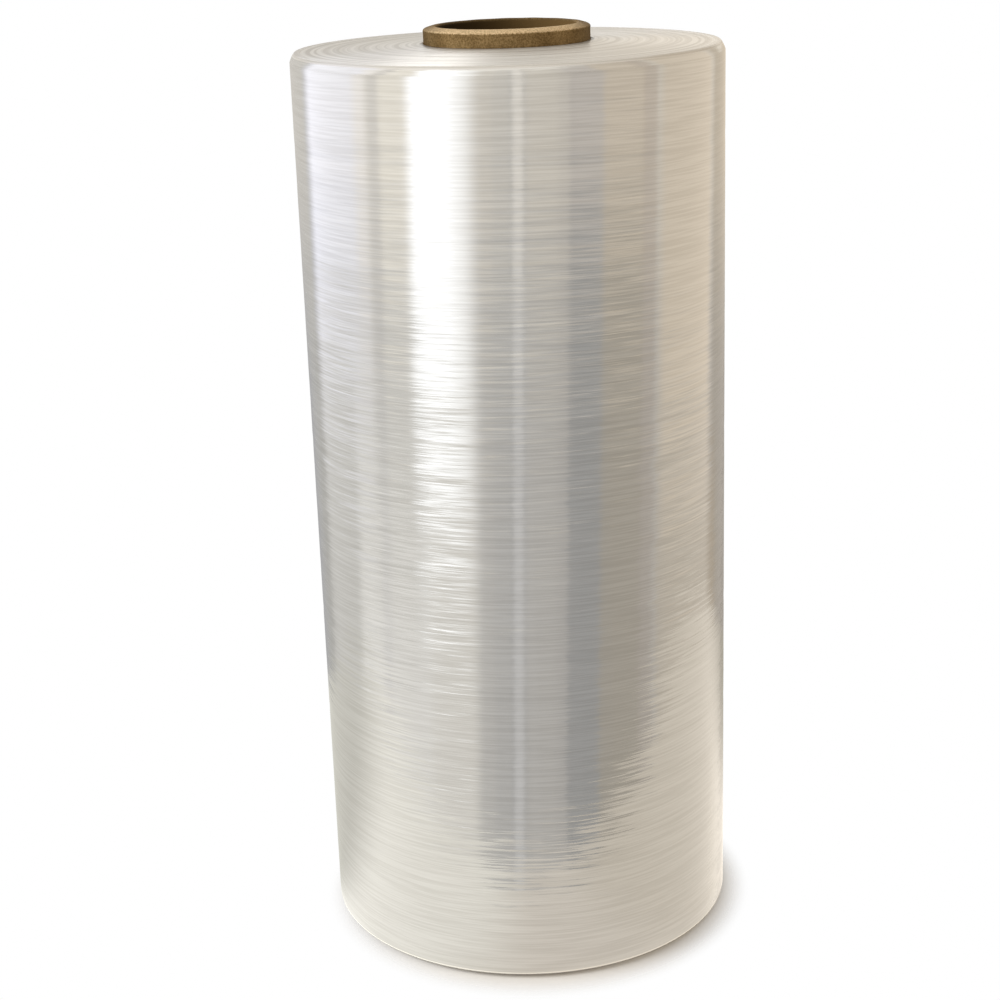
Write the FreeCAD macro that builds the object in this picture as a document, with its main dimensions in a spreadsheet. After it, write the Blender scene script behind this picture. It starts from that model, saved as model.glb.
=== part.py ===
import FreeCAD, Part
import math
import os
import Sketcher

# Stretch wrap roll: a wide plastic film, wound in hundreds of turns on a paperboard core.
# It stands on the core's lower end. The origin is at the middle of that end and +Z runs
# up the roll's axis. Lengths are in millimetres and angles in degrees.

SIZES = [
    ("film_width", 500.0, "width of the film, from end face to end face"),
    ("film_radius", 117.2, "radius over the last turn of film"),
    ("core_bore_radius", 38.1, "radius of the hole that takes the machine's spindle"),
    ("core_wall", 7.0, "thickness of the paperboard"),
    ("core_top_stub", 11.2, "length of core that stands out above the film's rim"),
    ("core_foot", 2.0, "length of core that stands out below the film"),
    ("lip_flare", 0.2, "how far the upper end is spread outwards"),
    ("lip_height", 2.6, "height that the domed lip rises at the upper end"),
    ("lip_crown", 1.0, "radial depth of the lip's outer rounding"),
    ("cut_bevel", 0.8, "bevel of the core's other cut edges"),
    ("turn_slide", 2.0, "how far the innermost turns have slid up, past those at the rim"),
    ("turn_step", 0.4, "how far the deepest ring of turns lies inside the others at an end"),
    ("shoulder_depth", 3.0, "radial depth of the worn upper shoulder"),
    ("shoulder_drop", 5.0, "height of the upper shoulder"),
    ("skirt_depth", 1.4, "radial depth of the lower edge's rounding"),
    ("skirt_rise", 1.2, "height of the lower edge's rounding"),
    ("gauge_depth", 0.2, "how far the thin bands of the film lie inside the thick ones: more than the lap"),
    ("gauge_height", 9.0, "height of one thin band"),
    ("tail_lap", 0.12, "how far the free end of the film stands proud"),
    ("tail_angle", 112.0, "direction of the free end, from +X about +Z"),
]

# Numbers of bands that the turns fall into, and how much narrower each is than the one inside it.
UPPER_BANDS = 16
LOWER_BANDS = 10
BAND_NARROWING = 0.90
UPPER_SHOULDER_STEPS = 6
LOWER_SHOULDER_STEPS = 3
SHOULDER_CURVE = 1.6
GAUGE_BANDS = 4

CORE_RADIUS = "(Sizes.core_bore_radius + Sizes.core_wall)"
CORE_LENGTH = "(Sizes.core_foot + Sizes.film_width + Sizes.core_top_stub)"
FILM_BOTTOM = "Sizes.core_foot"
FILM_TOP = "(Sizes.core_foot + Sizes.film_width)"
SLIDE_ROOM = "(Sizes.turn_slide + Sizes.turn_step)"
OUTSIDE = "(Sizes.film_radius + Sizes.core_wall)"

doc = FreeCAD.newDocument("stretch_wrap_roll")
sheet = doc.addObject("Spreadsheet::Sheet", "Sizes")
for row, (alias, value, meaning) in enumerate(SIZES, start=1):
    sheet.set(f"A{row}", meaning)
    sheet.set(f"B{row}", str(value))
    sheet.setAlias(f"B{row}", alias)
doc.recompute()


def worth(expression):
    """The present value of an expression on the sheet."""
    return float(sheet.evalExpression(expression))


def new_body(label):
    body = doc.addObject("PartDesign::Body", label)
    body.Label = label
    return body


def new_sketch(body, name, role):
    """An empty sketch on one of the body's own origin planes."""
    sketch = body.newObject("Sketcher::SketchObject", name)
    plane = next(item for item in body.Origin.OriginFeatures if item.Role == role)
    sketch.AttachmentSupport = [(plane, "")]
    sketch.MapMode = "FlatFace"
    return sketch


def dimension(sketch, kind, places, expression):
    """Adds a dimension to the sketch and ties it to the sheet."""
    index = sketch.addConstraint(Sketcher.Constraint(kind, *places, worth(expression)))
    name = f"size_{index}"
    sketch.renameConstraint(index, name)
    sketch.setExpression(f"Constraints.{name}", expression)


def draw_outline(sketch, corners):
    """Adds a closed outline whose corners are pairs of expressions: radius and height."""
    first = sketch.GeometryCount
    places = [FreeCAD.Vector(worth(radius), worth(height), 0) for radius, height in corners]
    lines = [Part.LineSegment(places[i - 1], places[i]) for i in range(len(places))]
    sketch.addGeometry(lines, False)
    joints = []
    for i in range(len(lines)):
        following = (i + 1) % len(lines)
        joints.append(Sketcher.Constraint("Coincident", first + i, 2, first + following, 1))
    sketch.addConstraint(joints)
    for i, (radius, height) in enumerate(corners):
        dimension(sketch, "DistanceX", (-1, 1, first + i, 2), radius)
        dimension(sketch, "DistanceY", (-1, 1, first + i, 2), height)


def turn(body, kind, name, sketch):
    """Turns the sketch right round the roll's axis, to add to the body or to cut it."""
    feature = body.newObject(kind, name)
    feature.Profile = sketch
    feature.ReferenceAxis = (sketch, ["V_Axis"])
    feature.Angle = 360.0
    return feature


def cut_round(body, name, sketch):
    """Turns the sketch round the axis as a cut and makes sure that it took material away."""
    before = body.Shape.Volume
    turn(body, "PartDesign::Groove", name, sketch)
    doc.recompute()
    if body.Shape.Volume >= before:
        raise RuntimeError(f"{name} cuts nothing")


# Core: a tube of glued paperboard plies, cut square. Its upper end is a little spread and
# worn to a low dome.

def make_core():
    body = new_body("core")
    section = new_sketch(body, "core_section", "XZ_Plane")
    bore = "Sizes.core_bore_radius"
    lip = f"{CORE_RADIUS} + Sizes.lip_flare"
    draw_outline(section, [
        (f"{bore} + Sizes.cut_bevel", "0.0"),
        (f"{CORE_RADIUS} - Sizes.cut_bevel", "0.0"),
        (CORE_RADIUS, "Sizes.cut_bevel"),
        (CORE_RADIUS, f"{CORE_LENGTH} - Sizes.lip_height * 1.5"),
        (lip, f"{CORE_LENGTH} - Sizes.lip_height"),
        (f"{lip} - Sizes.lip_crown * 0.2", f"{CORE_LENGTH} - Sizes.lip_height * 0.7"),
        (f"{lip} - Sizes.lip_crown", f"{CORE_LENGTH} - Sizes.lip_height * 0.45"),
        (f"{bore} + Sizes.core_wall * 0.45", f"{CORE_LENGTH} - Sizes.lip_height * 0.1"),
        (f"{bore} + Sizes.cut_bevel", CORE_LENGTH),
        (bore, f"{CORE_LENGTH} - Sizes.cut_bevel"),
        (bore, "Sizes.cut_bevel"),
    ])
    turn(body, "PartDesign::Revolution", "core_tube", section)
    doc.recompute()
    return body


# Film: every turn as one solid, with the edge of the last turn as a step on its side.

def draw_last_turn(sketch):
    """Draws the side as two half circles, the second let in by the lap that the first hides."""
    radius = worth("Sizes.film_radius")
    lap = worth("Sizes.tail_lap")
    upright = FreeCAD.Vector(0, 0, 1)
    over = Part.Circle(FreeCAD.Vector(0, 0, 0), upright, radius)
    under = Part.Circle(FreeCAD.Vector(-lap / 2, 0, 0), upright, radius - lap / 2)
    free_edge = Part.LineSegment(FreeCAD.Vector(radius - lap, 0, 0), FreeCAD.Vector(radius, 0, 0))
    bore = Part.Circle(FreeCAD.Vector(0, 0, 0), upright, worth(CORE_RADIUS))
    sketch.addGeometry([
        Part.ArcOfCircle(over, 0, math.pi),
        Part.ArcOfCircle(under, math.pi, 2 * math.pi),
        free_edge,
        bore,
    ], False)
    sketch.addConstraint([
        Sketcher.Constraint("Coincident", 0, 3, -1, 1),
        Sketcher.Constraint("Coincident", 3, 3, -1, 1),
        Sketcher.Constraint("Coincident", 0, 2, 1, 1),
        Sketcher.Constraint("Coincident", 1, 2, 2, 1),
        Sketcher.Constraint("Coincident", 2, 2, 0, 1),
        Sketcher.Constraint("PointOnObject", 0, 1, -1),
        Sketcher.Constraint("PointOnObject", 0, 2, -1),
        Sketcher.Constraint("PointOnObject", 1, 3, -1),
        Sketcher.Constraint("PointOnObject", 1, 2, -1),
    ])
    dimension(sketch, "Radius", (0,), "Sizes.film_radius")
    dimension(sketch, "Radius", (3,), CORE_RADIUS)
    dimension(sketch, "DistanceX", (2, 1, 2, 2), "Sizes.tail_lap")


def band_edge(number, count):
    """Where a band of turns ends, as a share of the way out: bands get finer to the rim."""
    return (1 - BAND_NARROWING ** number) / (1 - BAND_NARROWING ** count)


def band_fall(number):
    """How deep a band's edge lies inside the end, as a share of the step: no two in a row agree."""
    return ((number * 7) % 5 + 1) / 5


def end_outline(face, inward, away, bands, steps, depth, drop):
    """Outline of what is cut from an end, so that the turns show there as rings.

    face is the height of the rim at this end, inward is the sign that leads into the film,
    and away is a height outside it. Towards the core the turns have slid up, and between
    the bands' edges the end slopes. The outermost turns fall away over the depth and drop
    of the rounded shoulder.
    """
    rim = f"(Sizes.film_radius - {depth})"
    in_bore = f"{CORE_RADIUS} - Sizes.core_wall / 2"
    corners = [(in_bore, away), (in_bore, f"{face} + Sizes.turn_slide")]
    for number in range(bands + 1):
        share = band_edge(number, bands)
        radius = f"{CORE_RADIUS} + ({rim} - {CORE_RADIUS}) * {share:.5f}"
        slide = f"Sizes.turn_slide * {1 - share:.5f}"
        corners.append((radius, f"{face} + {slide} {inward} Sizes.turn_step * {band_fall(number):.1f}"))
    for number in range(1, steps + 1):
        share = (number / steps) ** SHOULDER_CURVE
        corners.append((f"{rim} + {depth} * {number / steps:.5f}", f"{face} {inward} {drop} * {share:.5f}"))
    return corners + [(OUTSIDE, f"{face} {inward} {drop}"), (OUTSIDE, away)]


def gauge_outlines():
    """Outlines of the shallow rings where the film is a little thinner than beside them."""
    outlines = []
    for number in range(GAUGE_BANDS):
        share = 0.06 + 0.86 * math.fmod(0.35 + number * 0.618, 1.0)
        low = f"{FILM_BOTTOM} + Sizes.film_width * {share:.4f}"
        high = f"{low} + Sizes.gauge_height"
        inner = "Sizes.film_radius - Sizes.gauge_depth"
        outlines.append([(inner, low), (OUTSIDE, low), (OUTSIDE, high), (inner, high)])
    return outlines


def make_film():
    body = new_body("film")
    outline = new_sketch(body, "last_turn", "XY_Plane")
    outline.setExpression("AttachmentOffset.Base.z", FILM_BOTTOM)
    draw_last_turn(outline)
    turns = body.newObject("PartDesign::Pad", "wound_turns")
    turns.Profile = outline
    turns.setExpression("Length", f"Sizes.film_width + {SLIDE_ROOM}")
    doc.recompute()

    upper = new_sketch(body, "upper_steps", "XZ_Plane")
    draw_outline(upper, end_outline(
        FILM_TOP, "-", f"{FILM_TOP} + 2 * {SLIDE_ROOM}",
        UPPER_BANDS, UPPER_SHOULDER_STEPS, "Sizes.shoulder_depth", "Sizes.shoulder_drop"))
    cut_round(body, "upper_turns", upper)

    lower = new_sketch(body, "lower_steps", "XZ_Plane")
    draw_outline(lower, end_outline(
        FILM_BOTTOM, "+", f"{FILM_BOTTOM} - Sizes.core_foot / 2",
        LOWER_BANDS, LOWER_SHOULDER_STEPS, "Sizes.skirt_depth", "Sizes.skirt_rise"))
    cut_round(body, "lower_turns", lower)

    rings = new_sketch(body, "thin_rings", "XZ_Plane")
    for corners in gauge_outlines():
        draw_outline(rings, corners)
    cut_round(body, "gauge_bands", rings)

    body.setExpression("Placement.Rotation.Angle", "Sizes.tail_angle")
    doc.recompute()
    return body


def check_document():
    """Stops the build if any object of the document failed."""
    for item in doc.Objects:
        if "Invalid" in item.State or "Error" in item.State:
            raise RuntimeError(f"{item.Label} failed: {item.State}")


def export(body):
    """Writes one sub-part to its own file."""
    shape = body.Shape
    if shape.isNull() or not shape.isValid():
        raise RuntimeError(f"{body.Label} has no valid shape")
    shape.exportStep(os.path.join("parts", f"{body.Label}.step"))


pieces = [make_core(), make_film()]
check_document()
os.makedirs("parts", exist_ok=True)
for piece in pieces:
    export(piece)
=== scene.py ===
import math
import random

import bmesh
import bpy
from mathutils import Matrix, Vector


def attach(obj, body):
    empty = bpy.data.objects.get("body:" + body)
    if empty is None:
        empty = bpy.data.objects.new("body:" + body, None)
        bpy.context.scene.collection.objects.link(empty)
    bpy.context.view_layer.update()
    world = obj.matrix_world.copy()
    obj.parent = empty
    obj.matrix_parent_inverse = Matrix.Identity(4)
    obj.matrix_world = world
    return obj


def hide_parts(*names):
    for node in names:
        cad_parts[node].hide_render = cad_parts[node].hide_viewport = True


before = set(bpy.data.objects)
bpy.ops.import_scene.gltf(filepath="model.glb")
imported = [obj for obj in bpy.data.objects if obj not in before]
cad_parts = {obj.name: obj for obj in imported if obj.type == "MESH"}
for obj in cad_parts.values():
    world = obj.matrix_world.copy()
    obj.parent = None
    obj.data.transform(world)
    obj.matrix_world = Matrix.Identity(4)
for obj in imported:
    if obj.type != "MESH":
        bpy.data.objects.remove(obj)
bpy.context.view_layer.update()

# Wound film
# The real piece is a long web of clear stretch film, wound tight into one drum of turns.
# It is cast polyethylene a few hundredths of a millimetre thick, drawn into fine level streaks.
# Only its own cling holds it: the turns at both ends have slid a little, in bands.
FILM_WIDTH = 0.500
FILM_RADIUS = 0.1172
FILM_FOOT = 0.002
FILM_BORE = 0.0451
TURN_SLIDE = 0.0020
TURN_STEP = 0.0004
BAND_NARROWING = 0.90
UPPER_END = dict(face=FILM_FOOT + FILM_WIDTH, inward=-1, bands=16, finer=3,
                 depth=0.0030, drop=0.0050, steps=6)
LOWER_END = dict(face=FILM_FOOT, inward=1, bands=10, finer=2,
                 depth=0.0014, drop=0.0012, steps=3)
SHOULDER_CURVE = 1.6
SHOULDER_FINER = 2
FINE_STEP = 0.00004
EDGE_ROUND = 0.00010
ROUND_LIMIT = 0.4
SAME_PLACE = 0.000001
SIDE_RINGS = 300
ROLL_COLUMNS = 192

winding = random.Random(11)


def turn_edges(face, inward, bands, finer, depth, drop, steps):
    """The section of one end of the roll, from the core out to the side."""
    rim = FILM_RADIUS - depth
    edge = []
    for step in range(bands * finer + 1):
        band, part = divmod(step, finer)
        reach, fall = [], []
        for turn in (band, min(band + 1, bands)):
            share = (1 - BAND_NARROWING ** turn) / (1 - BAND_NARROWING ** bands)
            reach.append(FILM_BORE + (rim - FILM_BORE) * share)
            fall.append(TURN_SLIDE * (1 - share) + inward * TURN_STEP * ((7 * turn) % 5 + 1) / 5)
        along = part / finer
        radius = reach[0] + (reach[1] - reach[0]) * along
        height = face + fall[0] + (fall[1] - fall[0]) * along
        if part:
            height += winding.uniform(-FINE_STEP, FINE_STEP)
        edge.append((radius, height))
    for step in range(1, steps * SHOULDER_FINER + 1):
        share = step / (steps * SHOULDER_FINER)
        edge.append((rim + depth * share, face + inward * drop * share ** SHOULDER_CURVE))
    return edge


def eased(corners, size):
    """The same section with a small flat cut across every corner."""
    section = []
    for i, corner in enumerate(corners):
        here = Vector(corner)
        for other in (corners[i - 1], corners[(i + 1) % len(corners)]):
            away = Vector(other) - here
            section.append(tuple(here + away.normalized() * min(size, away.length * ROUND_LIMIT)))
    return section


def lathe(name, section, columns, place):
    """A closed ring of faces.

    Each column of points is the section, set by place(radius, height, turn).
    """
    mesh = bpy.data.meshes.new(name)
    points = []
    for column in columns:
        points += [place(radius, height, column) for radius, height in section]
    count = len(section)
    faces = []
    for c in range(len(columns)):
        beside = (c + 1) % len(columns)
        for i in range(count):
            above = (i + 1) % count
            faces.append((c * count + i, beside * count + i, beside * count + above, c * count + above))
    mesh.from_pydata(points, [], faces)
    work = bmesh.new()
    work.from_mesh(mesh)
    bmesh.ops.remove_doubles(work, verts=work.verts, dist=SAME_PLACE)
    bmesh.ops.recalc_face_normals(work, faces=work.faces)
    work.to_mesh(mesh)
    work.free()
    mesh.shade_smooth()
    piece = bpy.data.objects.new(name, mesh)
    bpy.context.scene.collection.objects.link(piece)
    shading = piece.modifiers.new("flat bands between rounded edges", "WEIGHTED_NORMAL")
    shading.keep_sharp = True
    return piece


# The side has soft ridges, thin gauge bands at uneven heights, and the last turn, whose lap ends in
# a free edge at the back.
RIDGES = 9
RIDGE_PITCHES = (0.009, 0.060)
RIDGE_HEIGHT = 0.00003
GAUGE_BANDS = 4
GAUGE_DEPTH = 0.0001
GAUGE_HEIGHT = 0.009
GAUGE_LOWEST = 0.06
GAUGE_SPAN = 0.86
GAUGE_FIRST = 0.35
GAUGE_STRIDE = 0.618
TAIL_LAP = 0.00012
TAIL_ANGLE = math.radians(112.0)
INSIDE_SOLID = 0.00001

ridges = [(winding.uniform(*RIDGE_PITCHES), winding.uniform(0, math.tau), winding.choice((-1, 0, 1)))
          for _ in range(RIDGES)]
gauge_shares = [(GAUGE_FIRST + GAUGE_STRIDE * n) % 1.0 for n in range(GAUGE_BANDS)]
gauge_starts = [FILM_FOOT + FILM_WIDTH * (GAUGE_LOWEST + GAUGE_SPAN * share) for share in gauge_shares]


def side_radius(height, turn):
    """The radius of the last turn, with its lap, the soft ridges and the gauge bands."""
    lap = 0.0 if turn <= math.pi else TAIL_LAP * (1 + math.cos(turn)) / 2
    ridge = sum(math.sin(math.tau * height / pitch + start + lean * turn) for pitch, start, lean in ridges)
    radius = FILM_RADIUS - lap - RIDGE_HEIGHT * (1 + ridge / len(ridges) * 2)
    for start in gauge_starts:
        if start < height < start + GAUGE_HEIGHT:
            radius -= GAUGE_DEPTH * math.sin(math.pi * (height - start) / GAUGE_HEIGHT) ** 2
    return radius


def place_film(radius, height, turn):
    """A point of the film: the side follows the last turn, a little inside the solid."""
    if radius > FILM_RADIUS - TAIL_LAP - GAUGE_DEPTH:
        radius = min(radius, side_radius(height, turn)) - INSIDE_SOLID
    angle = turn + TAIL_ANGLE
    return (radius * math.cos(angle), radius * math.sin(angle), height)


upper = turn_edges(**UPPER_END)
lower = turn_edges(**LOWER_END)
side_top, side_bottom = upper[-1][1], lower[-1][1]
side = [(FILM_RADIUS, side_top + (side_bottom - side_top) * n / SIDE_RINGS) for n in range(1, SIDE_RINGS)]
film_section = eased(upper, EDGE_ROUND)[1:] + side + eased(lower, EDGE_ROUND)[1:][::-1]
film_columns = [math.tau * n / ROLL_COLUMNS for n in range(ROLL_COLUMNS + 1)]
wound_film = lathe("wound_film", film_section, film_columns, place_film)


def node(tree, kind, **settings):
    """A new shader node with its settings and its sockets' plain values."""
    made = tree.nodes.new(kind)
    for name, value in settings.items():
        if hasattr(made, name):
            setattr(made, name, value)
        else:
            made.inputs[name.replace("_", " ")].default_value = value
    return made


def feed(tree, value, socket):
    """Links the value to the socket, or sets it there if it is a plain one."""
    if isinstance(value, bpy.types.NodeSocket):
        tree.links.new(value, socket)
    else:
        socket.default_value = value


def maths(tree, operation, *values):
    made = node(tree, "ShaderNodeMath", operation=operation)
    for value, socket in zip(values, made.inputs):
        feed(tree, value, socket)
    return made.outputs[0]


def vectors(tree, operation, *values):
    made = node(tree, "ShaderNodeVectorMath", operation=operation)
    for value, socket in zip(values, made.inputs):
        feed(tree, value, socket)
    return made.outputs[0]


def scaled(tree, vector, factor):
    made = node(tree, "ShaderNodeVectorMath", operation="SCALE")
    feed(tree, vector, made.inputs[0])
    feed(tree, factor, made.inputs["Scale"])
    return made.outputs[0]


def length_of(tree, vector):
    made = node(tree, "ShaderNodeVectorMath", operation="LENGTH")
    feed(tree, vector, made.inputs[0])
    return made.outputs["Value"]


def from_axis(tree, spot):
    """How far a place lies from the roll's axis."""
    return length_of(tree, vectors(tree, "MULTIPLY", spot, (1, 1, 0)))


def object_place(tree):
    return node(tree, "ShaderNodeTexCoord").outputs["Object"]


def split(tree, vector):
    """The three parts of a place, by the names X, Y and Z."""
    made = node(tree, "ShaderNodeSeparateXYZ")
    feed(tree, vector, made.inputs[0])
    return made.outputs


def turned(tree, vector, angle):
    """The vector, turned about the roll's axis."""
    made = node(tree, "ShaderNodeVectorRotate", rotation_type="Z_AXIS")
    feed(tree, vector, made.inputs["Vector"])
    feed(tree, angle, made.inputs["Angle"])
    return made.outputs["Vector"]


def noise(tree, spot, **settings):
    made = node(tree, "ShaderNodeTexNoise", **settings)
    feed(tree, spot, made.inputs["Vector"])
    return made


def swing(tree, share):
    """Noise as a swing to both sides of nothing."""
    return maths(tree, "SUBTRACT", share, 0.5)


def ramp(tree, value, low, high, from_value=0.0, to_value=1.0):
    """A smooth step: from_value below low, to_value above high."""
    made = node(tree, "ShaderNodeMapRange", interpolation_type="SMOOTHSTEP")
    for name, given in (("Value", value), ("From Min", low), ("From Max", high),
                        ("To Min", from_value), ("To Max", to_value)):
        feed(tree, given, made.inputs[name])
    return made.outputs["Result"]


def spread(tree, share):
    """Noise, which keeps near its middle, spread out to run from 0 to 1."""
    return ramp(tree, share, 0.35, 0.65)


def blend(tree, share, first, second, mode="MIX"):
    made = node(tree, "ShaderNodeMix", data_type="RGBA", blend_type=mode)
    feed(tree, share, made.inputs["Factor"])
    feed(tree, first, made.inputs[6])
    feed(tree, second, made.inputs[7])
    return made.outputs[2]


def effect(name, inputs, outputs):
    """A shader node group with named sockets. Returns the group, its input node and its output node."""
    group = bpy.data.node_groups.new(name, "ShaderNodeTree")
    for label, (kind, value) in inputs.items():
        socket = group.interface.new_socket(name=label, in_out="INPUT", socket_type="NodeSocket" + kind)
        if value is not None:
            socket.default_value = value
    for label, kind in outputs.items():
        group.interface.new_socket(name=label, in_out="OUTPUT", socket_type="NodeSocket" + kind)
    return group, group.nodes.new("NodeGroupInput"), group.nodes.new("NodeGroupOutput")


def use(tree, group, **values):
    """Places a group in a material with its own values."""
    made = node(tree, "ShaderNodeGroup", node_tree=group)
    for label, value in values.items():
        feed(tree, value, made.inputs[label.replace("_", " ")])
    return made


def finish(name):
    """A new material. Returns it with its node tree and its Principled shader."""
    material = bpy.data.materials.new(name)
    material.use_nodes = True
    return material, material.node_tree, material.node_tree.nodes["Principled BSDF"]


# Level streaks: noise drawn out along the turns, which tilts the surface up and down and a little
# sideways. Its levels wander by up to the slant.
STREAK_SLANT = 0.005

streaks, given, made = effect(
    "level streaks",
    dict(Normal=("Vector", None), Pitch=("Float", 0.0015), Length=("Float", 0.04),
         Tilt=("Float", 0.1), Sideways=("Float", 0.03), Shift=("Float", 0.0)),
    dict(Normal="Vector", Streak="Float"))
spot = object_place(streaks)
parts = split(streaks, spot)
wander = noise(streaks, spot, Scale=6.0, Detail=1.0)
slant = maths(streaks, "MULTIPLY", swing(streaks, wander.outputs["Fac"]), STREAK_SLANT)
level = maths(streaks, "DIVIDE", maths(streaks, "ADD", parts["Z"], slant), given.outputs["Pitch"])
across = node(streaks, "ShaderNodeCombineXYZ")
for axis in "XY":
    drawn_out = maths(streaks, "DIVIDE", parts[axis], given.outputs["Length"])
    streaks.links.new(drawn_out, across.inputs[axis])
streaks.links.new(maths(streaks, "ADD", level, given.outputs["Shift"]), across.inputs["Z"])
drawn = noise(streaks, across.outputs[0], Scale=1.0, Detail=3.0, Roughness=0.6)
lean = node(streaks, "ShaderNodeSeparateColor")
streaks.links.new(drawn.outputs["Color"], lean.inputs[0])
up = maths(streaks, "MULTIPLY", swing(streaks, lean.outputs["Red"]), given.outputs["Tilt"])
aside = maths(streaks, "MULTIPLY", swing(streaks, lean.outputs["Green"]), given.outputs["Sideways"])
round_way = vectors(streaks, "CROSS_PRODUCT", (0, 0, 1), given.outputs["Normal"])
push = scaled(streaks, vectors(streaks, "NORMALIZE", round_way), aside)
rise = node(streaks, "ShaderNodeCombineXYZ")
streaks.links.new(up, rise.inputs["Z"])
tilted = vectors(streaks, "ADD", vectors(streaks, "ADD", given.outputs["Normal"], push), rise.outputs[0])
streaks.links.new(vectors(streaks, "NORMALIZE", tilted), made.inputs["Normal"])
streaks.links.new(lean.outputs["Blue"], made.inputs["Streak"])

# Turn lines: rings round the core, which tilt the ends of the turns towards it and away from it.
# They aren't quite round.
RING_WANDER = 0.0016

turn_lines, given, made = effect(
    "turn lines",
    dict(Normal=("Vector", None), Pitch=("Float", 0.0006), Tilt=("Float", 0.2)),
    dict(Normal="Vector", Line="Float"))
spot = object_place(turn_lines)
outward = vectors(turn_lines, "MULTIPLY", spot, (1, 1, 0))
wander = noise(turn_lines, spot, Scale=9.0, Detail=1.0)
uneven = maths(turn_lines, "MULTIPLY", swing(turn_lines, wander.outputs["Fac"]), RING_WANDER)
ring = maths(turn_lines, "ADD", length_of(turn_lines, outward), uneven)
rings = node(turn_lines, "ShaderNodeTexNoise", noise_dimensions="1D", Scale=1.0, Detail=3.0, Roughness=0.6)
turn_lines.links.new(maths(turn_lines, "DIVIDE", ring, given.outputs["Pitch"]), rings.inputs["W"])
lean = node(turn_lines, "ShaderNodeSeparateColor")
turn_lines.links.new(rings.outputs["Color"], lean.inputs[0])
out = maths(turn_lines, "MULTIPLY", swing(turn_lines, lean.outputs["Red"]), given.outputs["Tilt"])
push = scaled(turn_lines, vectors(turn_lines, "NORMALIZE", outward), out)
tilted = vectors(turn_lines, "ADD", given.outputs["Normal"], push)
turn_lines.links.new(vectors(turn_lines, "NORMALIZE", tilted), made.inputs["Normal"])
turn_lines.links.new(lean.outputs["Green"], made.inputs["Line"])

# The side shows the face of the last turns: clear film over silvery layers. The streaks are calm
# near the top, apart from the shoulder, and stronger from the middle down. The normals are turned
# about the axis by SIDE_TWIST for each metre below CALM_ABOVE, so that the bands of light that the
# film mirrors stand upright.
CALM_ABOVE = 0.47
LIVELY_BELOW = 0.28
CALM_SHARE = 0.35
SHOULDER_FROM = 0.4950
SHOULDER_TO = 0.4975
SHOULDER_EXTRA = 0.6
SIDE_TWIST = math.radians(13.5)
SILVER_DARK = (0.385, 0.370, 0.335, 1)
SILVER_PALE = (0.445, 0.430, 0.395, 1)
# A pale line along the foot of the side is a painted highlight, where the rounded lower edge catches light.
FOOT_HIGHLIGHT = (0.72, 0.69, 0.61, 1)
FOOT_HIGHLIGHT_TO = 0.0014
FOOT_HIGHLIGHT_FADE = 1.3

side_finish, tree, shader = finish("film side")
normal = node(tree, "ShaderNodeNewGeometry").outputs["Normal"]
height = split(tree, object_place(tree))["Z"]
lively = maths(tree, "ADD", ramp(tree, height, CALM_ABOVE, LIVELY_BELOW, CALM_SHARE, 1.0),
               ramp(tree, height, SHOULDER_FROM, SHOULDER_TO, 0.0, SHOULDER_EXTRA))
twist = maths(tree, "MULTIPLY", maths(tree, "SUBTRACT", CALM_ABOVE, height), SIDE_TWIST)
broad = use(tree, streaks, Normal=turned(tree, normal, twist), Pitch=0.0060, Length=0.12, Tilt=0.13,
            Sideways=0.012, Shift=3.0)
middle = use(tree, streaks, Normal=broad.outputs["Normal"], Pitch=0.0011, Length=0.050,
             Tilt=maths(tree, "MULTIPLY", lively, 0.40), Sideways=0.025, Shift=17.0)
fine = use(tree, streaks, Normal=middle.outputs["Normal"], Pitch=0.0005, Length=0.022,
           Tilt=maths(tree, "MULTIPLY", lively, 0.36), Sideways=0.03, Shift=41.0)
tree.links.new(fine.outputs["Normal"], shader.inputs["Normal"])
silver = blend(tree, spread(tree, middle.outputs["Streak"]), SILVER_DARK, SILVER_PALE)
# Painted highlight along the foot of the side.
foot_highlight = ramp(tree, height, FILM_FOOT + FOOT_HIGHLIGHT_TO, FILM_FOOT + FOOT_HIGHLIGHT_TO * FOOT_HIGHLIGHT_FADE, 1.0, 0.0)
tree.links.new(blend(tree, foot_highlight, silver, FOOT_HIGHLIGHT), shader.inputs["Base Color"])
tree.links.new(ramp(tree, broad.outputs["Streak"], 0.3, 0.7, 0.09, 0.14), shader.inputs["Roughness"])
shader.inputs["Metallic"].default_value = 0.40
shader.inputs["Specular IOR Level"].default_value = 0.9
shader.inputs["Coat Weight"].default_value = 0.3
shader.inputs["Coat Roughness"].default_value = 0.08
wound_film.data.materials.append(side_finish)

# The ends show the cut edges of all the turns, packed side by side. Close to the rim the fine
# lines tilt more.
TURNS_DARK = (0.29, 0.265, 0.225, 1)
TURNS_PALE = (0.48, 0.455, 0.41, 1)
RIM_FROM = FILM_RADIUS - 0.014
RIM_TO = FILM_RADIUS - 0.003
RIM_TILTS = (0.18, 0.45)
END_LEVEL = 0.5

end_finish, tree, shader = finish("film turn edges")
normal = node(tree, "ShaderNodeNewGeometry").outputs["Normal"]
outward = from_axis(tree, object_place(tree))
wide = use(tree, turn_lines, Normal=normal, Pitch=0.0034, Tilt=0.10)
narrow = use(tree, turn_lines, Normal=wide.outputs["Normal"], Pitch=0.0009,
             Tilt=ramp(tree, outward, RIM_FROM, RIM_TO, *RIM_TILTS))
tree.links.new(narrow.outputs["Normal"], shader.inputs["Normal"])
turns = blend(tree, spread(tree, wide.outputs["Line"]), TURNS_DARK, TURNS_PALE)
tree.links.new(turns, shader.inputs["Base Color"])
shader.inputs["Roughness"].default_value = 0.30
shader.inputs["Metallic"].default_value = 0.25
shader.inputs["Specular IOR Level"].default_value = 0.8
shader.inputs["Anisotropic"].default_value = 0.8
shader.inputs["Anisotropic Rotation"].default_value = 0.25
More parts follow.
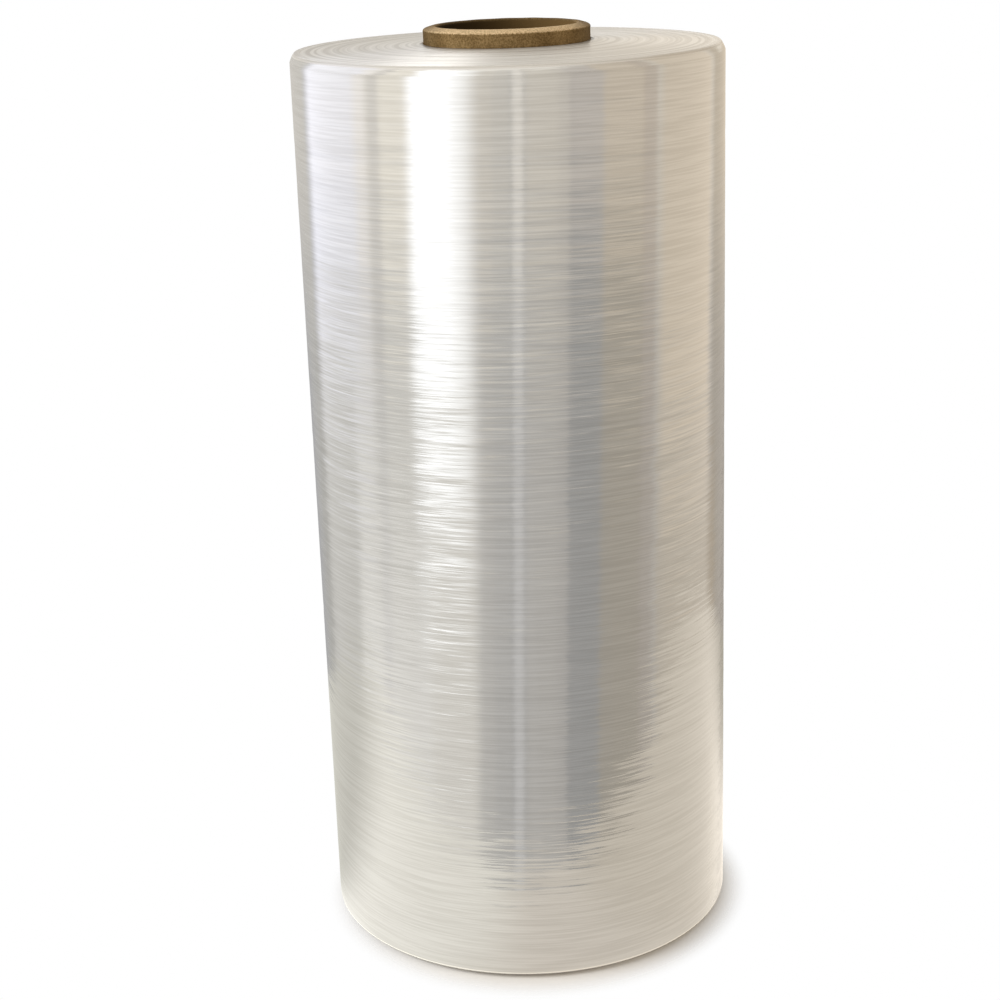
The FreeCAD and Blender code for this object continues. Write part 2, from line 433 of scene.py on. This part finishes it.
along = node(tree, "ShaderNodeTangent", direction_type="RADIAL", axis="Z")
tree.links.new(along.outputs["Tangent"], shader.inputs["Tangent"])
wound_film.data.materials.append(end_finish)
for face in wound_film.data.polygons:
    face.material_index = 1 if abs(face.normal.z) > END_LEVEL else 0

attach(wound_film, "root")
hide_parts("film")

# Core
# The real piece is a tube of brown paperboard, wound in a spiral from glued plies.
# It is cut square at both ends, and its upper lip is spread a little and worn to a low dome, pale partly
# from wear and partly from painted light.
# The film is wound straight on it and grips it along its whole length.
CORE_BORE = 0.0381
CORE_RADIUS = FILM_BORE
CORE_WALL = CORE_RADIUS - CORE_BORE
CORE_STUB = 0.0112
CORE_TOP = FILM_FOOT + FILM_WIDTH + CORE_STUB
CUT_BEVEL = 0.0008
CUT_ROUND = 0.00015
LIP_FLARE = 0.0002
LIP_HEIGHT = 0.0026
LIP_CROWN = 0.0010
CORE_COLUMNS = 192
FRAYS = 8
FRAY_WAVES = (2, 23)
FRAY_INWARD = 0.00018
FRAY_DOWN = 0.00012

lip_radius = CORE_RADIUS + LIP_FLARE
core_corners = [
    (CORE_BORE + CUT_BEVEL, 0.0),
    (CORE_RADIUS - CUT_BEVEL, 0.0),
    (CORE_RADIUS, CUT_BEVEL),
    (CORE_RADIUS, CORE_TOP - LIP_HEIGHT * 1.5),
    (lip_radius, CORE_TOP - LIP_HEIGHT),
    (lip_radius - LIP_CROWN * 0.2, CORE_TOP - LIP_HEIGHT * 0.7),
    (lip_radius - LIP_CROWN, CORE_TOP - LIP_HEIGHT * 0.45),
    (CORE_BORE + CORE_WALL * 0.45, CORE_TOP - LIP_HEIGHT * 0.1),
    (CORE_BORE + CUT_BEVEL, CORE_TOP),
    (CORE_BORE, CORE_TOP - CUT_BEVEL),
    (CORE_BORE, CUT_BEVEL),
]
core_section = eased(core_corners, CUT_ROUND)
frays = [(winding.randint(*FRAY_WAVES), winding.uniform(0, math.tau)) for _ in range(FRAYS)]


def place_core(radius, height, turn):
    """The lip is a little uneven where the knife left it, within the piece's own size."""
    near_lip = max(0.0, 1 - (CORE_TOP - height) / (2 * LIP_HEIGHT))
    fray = sum(math.sin(count * turn + start) for count, start in frays) / len(frays)
    radius -= FRAY_INWARD * near_lip * (1 + fray)
    height -= FRAY_DOWN * near_lip * (1 + fray)
    return (radius * math.cos(turn), radius * math.sin(turn), height)


core_columns = [math.tau * n / CORE_COLUMNS for n in range(CORE_COLUMNS)]
paper_core = lathe("paper_core", core_section, core_columns, place_core)

# The lip is pale partly from wear and partly from painted light, painted palest at the front. The flanks,
# the back and the bore get painted shade.
BOARD_DARK = (0.088, 0.053, 0.019, 1)
BOARD_PALE = (0.125, 0.079, 0.031, 1)
FIBRE_PALE = (1.75, 1.80, 2.0, 1)
WORN_AND_LIT_PALE = (0.42, 0.30, 0.16, 1)
WORN_AND_LIT_FROM = CORE_TOP - 0.0020
WORN_AND_LIT_TO = CORE_TOP - 0.0012
WORN_AND_LIT_RAGGED = 0.0010
WORN_AND_LIT_SHARE = 0.85
LIP_LIGHT_FRONT = -0.03
LIP_LIGHT_BACK = 0.01
PAINTED_SHADE = (0.55, 0.55, 0.55, 1)
FLANK_FROM = 0.030
FLANK_TO = 0.045
BACK_TO = 0.02
BORE_SHADE_DARK = (0.012, 0.007, 0.002, 1)
BORE_SHADE_PALE = (0.110, 0.066, 0.024, 1)
BORE_FROM = CORE_BORE + 0.0004
BORE_TO = CORE_BORE + 0.0001
MOUTH_DEPTH = 0.002

board_finish, tree, shader = finish("brown paperboard")
spot = object_place(tree)
parts = split(tree, spot)
fibres = noise(tree, spot, Scale=1100.0, Detail=3.0, Roughness=0.65).outputs["Fac"]
blotches = noise(tree, spot, Scale=70.0, Detail=3.0).outputs["Fac"]
board = blend(tree, spread(tree, blotches), BOARD_DARK, BOARD_PALE)
# Where the lip's top faces up it is pale, part wear and part painted light; the painted light is strongest
# at the front and fades to the back.
ragged = maths(tree, "ADD", parts["Z"], maths(tree, "MULTIPLY", fibres, WORN_AND_LIT_RAGGED))
worn_and_lit = maths(tree, "MULTIPLY", ramp(tree, ragged, WORN_AND_LIT_FROM, WORN_AND_LIT_TO, 0.0, WORN_AND_LIT_SHARE),
             ramp(tree, parts["Y"], LIP_LIGHT_FRONT, LIP_LIGHT_BACK, 0.8, 0.1))
board = blend(tree, worn_and_lit, board, WORN_AND_LIT_PALE)
board = blend(tree, ramp(tree, fibres, 0.38, 0.62), board, FIBRE_PALE, "MULTIPLY")
# Painted shade: the flanks and the back of the core are darkened in its colour.
flank = ramp(tree, maths(tree, "ABSOLUTE", parts["X"]), FLANK_FROM, FLANK_TO)
flanks_and_back_shade = maths(tree, "MAXIMUM", flank, ramp(tree, parts["Y"], 0.0, BACK_TO))
board = blend(tree, flanks_and_back_shade, board, PAINTED_SHADE, "MULTIPLY")
# Painted shade inside the bore, below its mouth, darker towards the left.
in_bore = maths(tree, "MULTIPLY", ramp(tree, from_axis(tree, spot), BORE_FROM, BORE_TO),
                ramp(tree, parts["Z"], CORE_TOP, CORE_TOP - MOUTH_DEPTH))
bore_shade = blend(tree, ramp(tree, parts["X"], -CORE_BORE, CORE_BORE), BORE_SHADE_DARK, BORE_SHADE_PALE)
tree.links.new(blend(tree, in_bore, board, bore_shade), shader.inputs["Base Color"])
relief = node(tree, "ShaderNodeBump", Strength=0.5, Distance=0.0004)
tree.links.new(fibres, relief.inputs["Height"])
tree.links.new(relief.outputs["Normal"], shader.inputs["Normal"])
shader.inputs["Roughness"].default_value = 0.85
shader.inputs["Specular IOR Level"].default_value = 0.08
paper_core.data.materials.append(board_finish)

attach(paper_core, "root")
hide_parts("core")

# Studio floor
# A round white table that melts into the white surroundings and keeps the roll's shadow.
# The film's gloss sees an oval of it instead, 1.1 m by 0.62 m, with a glow of its own: brightest at
# the left, warmer at the right and dim behind the roll.
FLOOR_RADIUS = 0.62
FLOOR_POINTS = 96
FLOOR_WHITE = (0.60, 0.575, 0.54, 1)
SHADOW_FROM = 0.111
SHADOW_TO = 0.136
SHADOW_AIM = (0.004, -0.004, 0)
SHADOW_WIDE = 0.95
TABLE_ASIDE = 0.05
TABLE_BACK = 0.06
TABLE_WIDE = 0.55
TABLE_DEEP = 0.31
TABLE_EDGE = (0.94, 1.06)
TABLE_SWING = math.radians(10.0)
TABLE_LEFT = (1.95, 1.93, 1.84, 1)
TABLE_MIDDLE = (1.52, 1.42, 1.32, 1)
TABLE_RIGHT = (1.30, 1.19, 1.05, 1)
TABLE_FAR = (0.38, 0.38, 0.36, 1)
LEFT_FADE = (-0.01, -0.09)
RIGHT_FADE = (0.02, 0.12)
FAR_FADE = (0.0, 0.6)
FAR_SLANT = -0.3

floor_mesh = bpy.data.meshes.new("studio_floor")
floor_angles = [math.tau * n / FLOOR_POINTS for n in range(FLOOR_POINTS)]
rim = [(FLOOR_RADIUS * math.cos(angle), FLOOR_RADIUS * math.sin(angle), 0.0) for angle in floor_angles]
floor_mesh.from_pydata(rim, [], [tuple(range(FLOOR_POINTS))])
studio_floor = bpy.data.objects.new("studio_floor", floor_mesh)
bpy.context.scene.collection.objects.link(studio_floor)

floor_finish, tree, shader = finish("white table")
shader.inputs["Base Color"].default_value = FLOOR_WHITE
shader.inputs["Roughness"].default_value = 0.9
shader.inputs["Specular IOR Level"].default_value = 0.0
spot = object_place(tree)


def oval_reach(tree, spot, wide, deep):
    """How far a place lies from the middle, as a share of the oval's half width and half depth."""
    return length_of(tree, vectors(tree, "DIVIDE", spot, (wide, deep, 1)))


aimed = vectors(tree, "SUBTRACT", spot, SHADOW_AIM)
melts = ramp(tree, oval_reach(tree, aimed, SHADOW_WIDE, 1), SHADOW_FROM, SHADOW_TO, 1.0, 0.0)
swung = turned(tree, spot, -TABLE_SWING)
swung_parts = split(tree, swung)
from_middle = vectors(tree, "SUBTRACT", swung, (TABLE_ASIDE, TABLE_BACK, 0))
ends = ramp(tree, oval_reach(tree, from_middle, TABLE_WIDE, TABLE_DEEP), *TABLE_EDGE, 1.0, 0.0)
ray = node(tree, "ShaderNodeLightPath")
shown = ramp(tree, ray.outputs["Is Glossy Ray"], 0.0, 1.0, melts, ends)
table_light = blend(tree, ramp(tree, swung_parts["X"], *LEFT_FADE), TABLE_MIDDLE, TABLE_LEFT)
table_light = blend(tree, ramp(tree, swung_parts["X"], *RIGHT_FADE), table_light, TABLE_RIGHT)
back_reach = maths(tree, "MULTIPLY_ADD", swung_parts["X"], FAR_SLANT, swung_parts["Y"])
far_side = maths(tree, "DIVIDE", back_reach, length_of(tree, spot))
table_light = blend(tree, ramp(tree, far_side, *FAR_FADE), table_light, TABLE_FAR, "MULTIPLY")
table_glow = node(tree, "ShaderNodeEmission")
tree.links.new(table_light, table_glow.inputs["Color"])
clear = node(tree, "ShaderNodeBsdfTransparent")
lit = node(tree, "ShaderNodeMixShader")
tree.links.new(ray.outputs["Is Glossy Ray"], lit.inputs[0])
tree.links.new(shader.outputs[0], lit.inputs[1])
tree.links.new(table_glow.outputs[0], lit.inputs[2])
mixed = node(tree, "ShaderNodeMixShader")
tree.links.new(shown, mixed.inputs[0])
tree.links.new(clear.outputs[0], mixed.inputs[1])
tree.links.new(lit.outputs[0], mixed.inputs[2])
tree.links.new(mixed.outputs[0], tree.nodes["Material Output"].inputs["Surface"])
floor_finish.cycles.emission_sampling = "NONE"
studio_floor.data.materials.append(floor_finish)

# Studio light
# A white room: plain white behind everything, and a soft even dome that lights the roll.
# A large soft lamp at the left front gives the shadow at the lower right, and a weaker warm one
# fills in from the right.
DOME_LEVEL = 0.62
LAMP_SIZE = 1.3
LAMP_TARGET = (0, 0, 0.2)

world = bpy.data.worlds.new("white room")
bpy.context.scene.world = world
world.use_nodes = True
tree = world.node_tree
background = tree.nodes["Background"]
ray = node(tree, "ShaderNodeLightPath")
mirrored = maths(tree, "MAXIMUM", ray.outputs["Is Glossy Ray"], ray.outputs["Is Transmission Ray"])
seen = maths(tree, "MAXIMUM", ray.outputs["Is Camera Ray"], mirrored)
background.inputs["Color"].default_value = (1, 1, 1, 1)
tree.links.new(ramp(tree, seen, 0.0, 1.0, DOME_LEVEL, 1.0), background.inputs["Strength"])


def soft_lamp(name, spot, power, colour):
    """A large round lamp that lights the roll and isn't mirrored in it."""
    lamp = bpy.data.lights.new(name, "AREA")
    lamp.shape = "DISK"
    lamp.size = LAMP_SIZE
    lamp.energy = power
    lamp.color = colour
    stand = bpy.data.objects.new(name, lamp)
    stand.location = spot
    stand.rotation_mode = "QUATERNION"
    stand.rotation_quaternion = (Vector(LAMP_TARGET) - Vector(spot)).to_track_quat("-Z", "Y")
    stand.visible_glossy = False
    bpy.context.scene.collection.objects.link(stand)


soft_lamp("key_lamp", (-1.66, -0.54, 1.1), 46.0, (0.97, 0.985, 1.0))
soft_lamp("fill_lamp", (1.5, -0.9, 0.9), 16.0, (1.0, 0.88, 0.70))

# Studio wall
# A round wall of soft boxes, white boards and grey flags, which only the film's gloss sees.
# Angles are in degrees: across, from the camera's side round to the right; up, from the roll's middle.
WALL_RADIUS = 2.0
WALL_LOW = -1.8
WALL_HIGH = 2.4
WALL_MIDDLE = 0.25
WALL_POINTS = 64
WALL_UPPER = (1.38, 1.31, 1.22, 1)
WALL_LOWER = (0.82, 0.83, 0.88, 1)
WALL_FADE = (-14.0, 1.0)
# centre, half width and soft edge; lowest and highest elevation and the fade past them; colour; how it acts
BOARDS = {
    "low_left": (-56, 38, 8, -60, -16, 8, (1.15, 1.15, 1.15, 1), "MIX"),
    "low_glow": (-66, 32, 12, -60, -22, 6, (1.65, 1.65, 1.68, 1), "MIX"),
    "low_back": (-117, 23, 8, -60, -16, 8, (0.75, 0.75, 0.75, 1), "MIX"),
    "low_box": (-32, 13, 7, -60, -18, 8, (1.52, 1.50, 1.48, 1), "MIX"),
    "low_right": (112, 29, 6, -60, -19, 7, (0.85, 0.76, 0.66, 1), "MIX"),
    "cool_board": (-105, 27, 5, -10, 60, 8, (1.36, 1.38, 1.50, 1), "MULTIPLY"),
    "cool_top": (-110, 24, 8, -5, 60, 6, (0.98, 1.04, 1.20, 1), "MULTIPLY"),
    "back_gap": (-154, 26, 8, -60, 60, 10, (0.45, 0.45, 0.45, 1), "MULTIPLY"),
    "warm_board": (-60, 9, 4, -6, 60, 8, (1.36, 1.36, 1.32, 1), "MULTIPLY"),
    "dark_line": (-73, 3, 2.5, -60, 60, 10, (0.84, 0.84, 0.87, 1), "MULTIPLY"),
    "tall_box": (-34, 14.0, 13, -11, 60, 12, (2.9, 3.0, 3.2, 1), "MIX"),
    "wide_box": (-40.5, 11.5, 8, -7, 60, 9, (3.6, 3.75, 4.1, 1), "MIX"),
    "strip_side": (-4, 5, 2.5, -60, 60, 10, (0.90, 0.92, 0.95, 1), "MULTIPLY"),
    "strip_edge": (3.9, 4.4, 1.2, -60, 60, 10, (0.78, 0.81, 0.86, 1), "MULTIPLY"),
    "strip": (3.9, 2.5, 1.0, -60, 60, 10, (1.80, 1.78, 1.76, 1), "MULTIPLY"),
    "grey_flag": (39, 9.0, 2.0, -60, 60, 10, (0.76, 0.75, 0.80, 1), "MULTIPLY"),
    "grey_sheet": (60, 12.0, 2.0, -60, 60, 10, (0.93, 0.84, 0.74, 1), "MULTIPLY"),
    "flag_fringe": (28, 4, 4, -60, 60, 10, (0.90, 0.90, 0.92, 1), "MULTIPLY"),
    "low_flag": (39, 9.0, 2.0, -60, -12, 12, (0.53, 0.62, 0.70, 1), "MULTIPLY"),
    "low_sheet": (60, 12.0, 2.0, -60, -12, 12, (0.65, 0.65, 0.62, 1), "MULTIPLY"),
    "side_flag": (76, 4.5, 2, -60, 60, 10, (0.74, 0.66, 0.62, 1), "MULTIPLY"),
    "beige_board": (107, 23, 8, -10, 60, 12, (1.35, 1.15, 0.93, 1), "MIX"),
    "end_gap": (156, 24, 10, -60, 60, 10, (0.58, 0.52, 0.44, 1), "MULTIPLY"),
    "back_strip": (180, 5, 4, -16, 60, 8, (0.95, 0.92, 0.86, 1), "MIX"),
    "top_sheet": (160, 16, 8, 14, 60, 6, (1.2, 1.10, 0.96, 1), "MIX"),
    "wedge_box": (-160, 7, 4, 26, 60, 6, (3.6, 3.7, 4.0, 1), "MIX"),
    "glare_box": (-173.5, 3, 2, 30, 60, 6, (6.0, 6.0, 6.0, 1), "MIX"),
    "sky": (0, 181, 1, 52, 90, 6, (2.0, 1.95, 1.88, 1), "MIX"),
}

wall_mesh = bpy.data.meshes.new("studio_wall")
wall_angles = [math.tau * n / WALL_POINTS for n in range(WALL_POINTS)]
corners = [(WALL_RADIUS * math.cos(angle), WALL_RADIUS * math.sin(angle), level)
           for level in (WALL_LOW, WALL_HIGH) for angle in wall_angles]
panels = []
for n in range(WALL_POINTS):
    beside = (n + 1) % WALL_POINTS
    panels.append((n, beside, beside + WALL_POINTS, n + WALL_POINTS))
lids = [tuple(range(WALL_POINTS)), tuple(range(WALL_POINTS, 2 * WALL_POINTS))]
wall_mesh.from_pydata(corners, [], panels + lids)
studio_wall = bpy.data.objects.new("studio_wall", wall_mesh)
bpy.context.scene.collection.objects.link(studio_wall)
studio_wall.visible_camera = False
studio_wall.visible_diffuse = False
studio_wall.visible_transmission = False
studio_wall.visible_shadow = False

wall_finish, tree, shader = finish("soft boxes and flags")
tree.nodes.remove(shader)
spot = object_place(tree)
parts = split(tree, spot)
to_front = maths(tree, "MULTIPLY", parts["Y"], -1)
across = maths(tree, "DEGREES", maths(tree, "ARCTAN2", parts["X"], to_front))
over_middle = maths(tree, "SUBTRACT", parts["Z"], WALL_MIDDLE)
above = maths(tree, "DEGREES", maths(tree, "ARCTAN2", over_middle, from_axis(tree, spot)))
glow = blend(tree, ramp(tree, above, *WALL_FADE), WALL_LOWER, WALL_UPPER)
for centre, half, edge, lowest, highest, fade, colour, mode in BOARDS.values():
    aside = maths(tree, "ABSOLUTE", maths(tree, "WRAP", maths(tree, "SUBTRACT", across, centre), 180, -180))
    wide = ramp(tree, aside, half - edge / 2, half + edge / 2, 1.0, 0.0)
    tall = maths(tree, "MULTIPLY", ramp(tree, above, lowest - fade, lowest),
                 ramp(tree, above, highest, highest + fade, 1.0, 0.0))
    glow = blend(tree, maths(tree, "MULTIPLY", wide, tall), glow, colour, mode)
light = node(tree, "ShaderNodeEmission")
tree.links.new(glow, light.inputs["Color"])
tree.links.new(light.outputs[0], tree.nodes["Material Output"].inputs["Surface"])
wall_finish.cycles.emission_sampling = "NONE"
studio_wall.data.materials.append(wall_finish)

# Camera
# It stands a metre in front of the roll, a little above its top, and looks down on it.
# Its place, tilt and lens are fitted to the outline of the roll in the photograph.
CAMERA_SPOT = Vector((0.0, -1.0884, 0.5937))
CAMERA_PITCH = math.radians(17.795)
CAMERA_YAW = math.radians(-0.622)
CAMERA_ROLL = math.radians(-1.884)
CAMERA_LENS = 71.09
CAMERA_SENSOR = 36.0

level_ahead = math.cos(CAMERA_PITCH)
ahead = Vector((math.sin(CAMERA_YAW) * level_ahead, math.cos(CAMERA_YAW) * level_ahead,
                -math.sin(CAMERA_PITCH)))
level_right = Vector((math.cos(CAMERA_YAW), -math.sin(CAMERA_YAW), 0.0))
level_up = level_right.cross(ahead)
right = level_right * math.cos(CAMERA_ROLL) + level_up * math.sin(CAMERA_ROLL)
top = level_up * math.cos(CAMERA_ROLL) - level_right * math.sin(CAMERA_ROLL)
camera = bpy.data.objects.new("camera", bpy.data.cameras.new("camera"))
camera.data.sensor_width = CAMERA_SENSOR
camera.data.lens = CAMERA_LENS
camera.data.dof.use_dof = False
camera.matrix_world = Matrix.Translation(CAMERA_SPOT) @ Matrix((right, top, -ahead)).transposed().to_4x4()
bpy.context.scene.collection.objects.link(camera)
bpy.context.scene.camera = camera
bpy.context.scene.view_settings.view_transform = "Standard"
